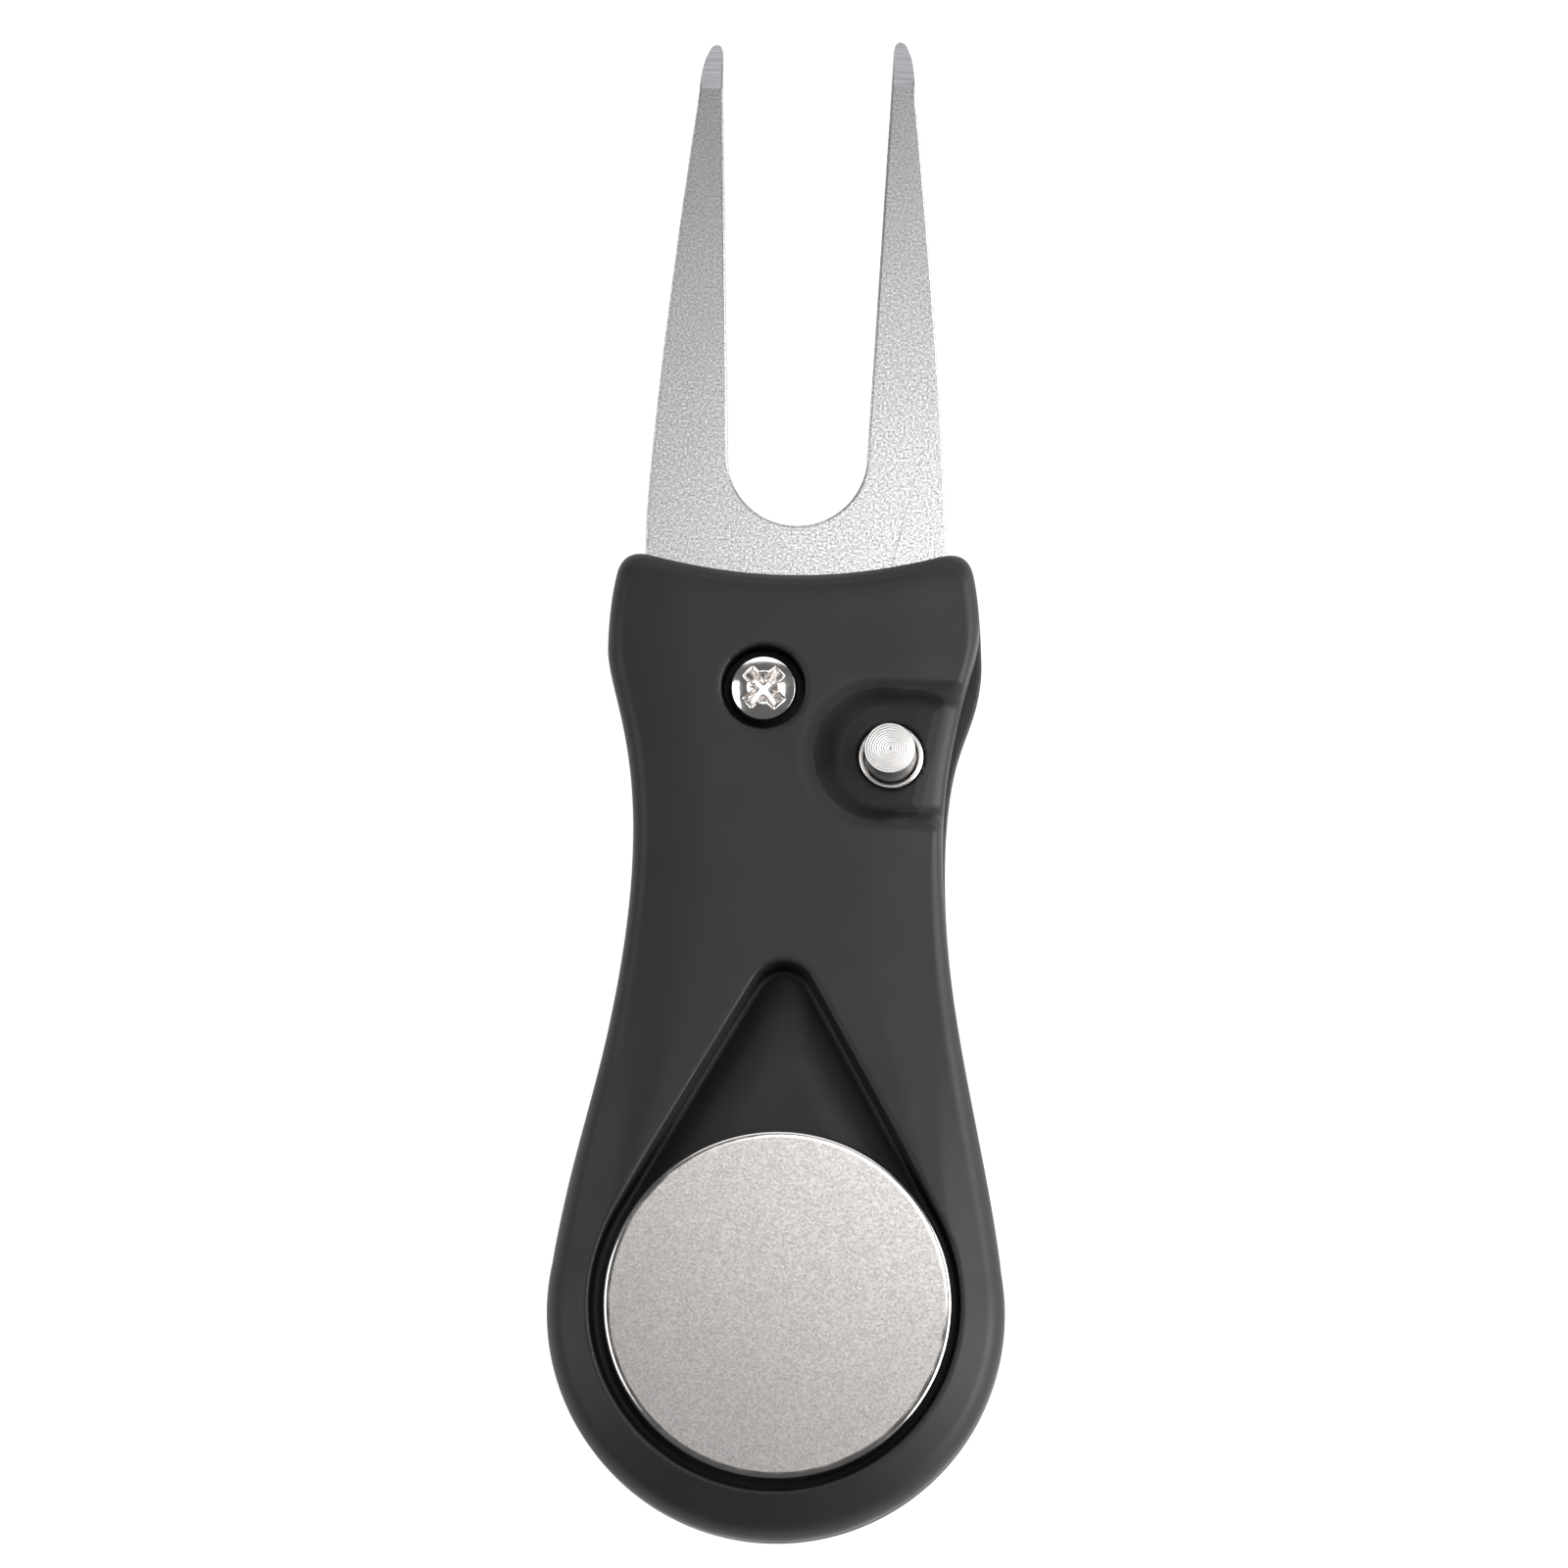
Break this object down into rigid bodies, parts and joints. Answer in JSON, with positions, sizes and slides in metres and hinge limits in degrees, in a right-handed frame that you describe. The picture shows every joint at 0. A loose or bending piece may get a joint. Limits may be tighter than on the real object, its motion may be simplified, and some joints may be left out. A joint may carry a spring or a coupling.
{
  "type": "divot repair tool",
  "caption": "Folding golf divot repair tool: pronged steel fork on a spring pivot, push-button lock, soft-touch handle and a magnetic ball marker in its recess.",
  "frame": {"origin": "on the back face, under the middle of the opened tool", "axes": "+Y along the tool towards the fork's tips, +X to the right of the front face, +Z out of the front face"},
  "size_m": [0.0328, 0.1096, 0.0136],
  "materials": {
    "soft_touch": "black rubberised soft-touch coat, fine matte texture",
    "fork_steel": "tumbled stainless sheet with ground tips",
    "nickel_plate": "bright nickel plate",
    "marker_nickel": "satin nickel with a polished rim",
    "button_steel": "turned steel",
    "spring_steel": "drawn spring wire",
    "zinc_steel": "zinc plated steel",
    "bearing_bronze": "turned bronze",
    "magnet_nickel": "nickel plated magnet"
  },
  "bodies": {
    "handle": {"back_cover": "soft_touch", "front_cover": "soft_touch", "pivot_screw": "nickel_plate", "pivot_nut": "zinc_steel", "pivot_bushing": "bearing_bronze", "back_washer": "zinc_steel", "front_washer": "zinc_steel", "opening_spring": "spring_steel", "button_guide": "nickel_plate", "button_spring": "spring_steel", "marker_magnet": "magnet_nickel", "case_screw_1": "zinc_steel", "case_screw_2": "zinc_steel", "case_screw_3": "zinc_steel"},
    "fork": {"fork": "fork_steel", "spring_pin": "zinc_steel"},
    "button": {"release_button": "button_steel"},
    "marker": {"ball_marker": "marker_nickel"}
  },
  "joints": [
    {"name": "fork_swing", "type": "hinge", "parent": "handle", "child": "fork", "pos_m": [-0.00196, 0.00655, 0.0055], "axis": [0, 0, 1], "range_deg": [0, 184], "stiffness_Nm_per_rad": 0.012, "springref_deg": -34.38, "deforming": ["opening_spring"]},
    {"name": "button_press", "type": "slide", "parent": "handle", "child": "button", "axis": [0, 0, -1], "range_m": [0, 0.0022], "stiffness_N_per_m": 600, "springref_m": -0.003, "deforming": ["button_spring"]},
    {"name": "marker_lift", "type": "slide", "parent": "handle", "child": "marker", "axis": [0, 0, 1], "range_m": [0, 0.015]}
  ]
}
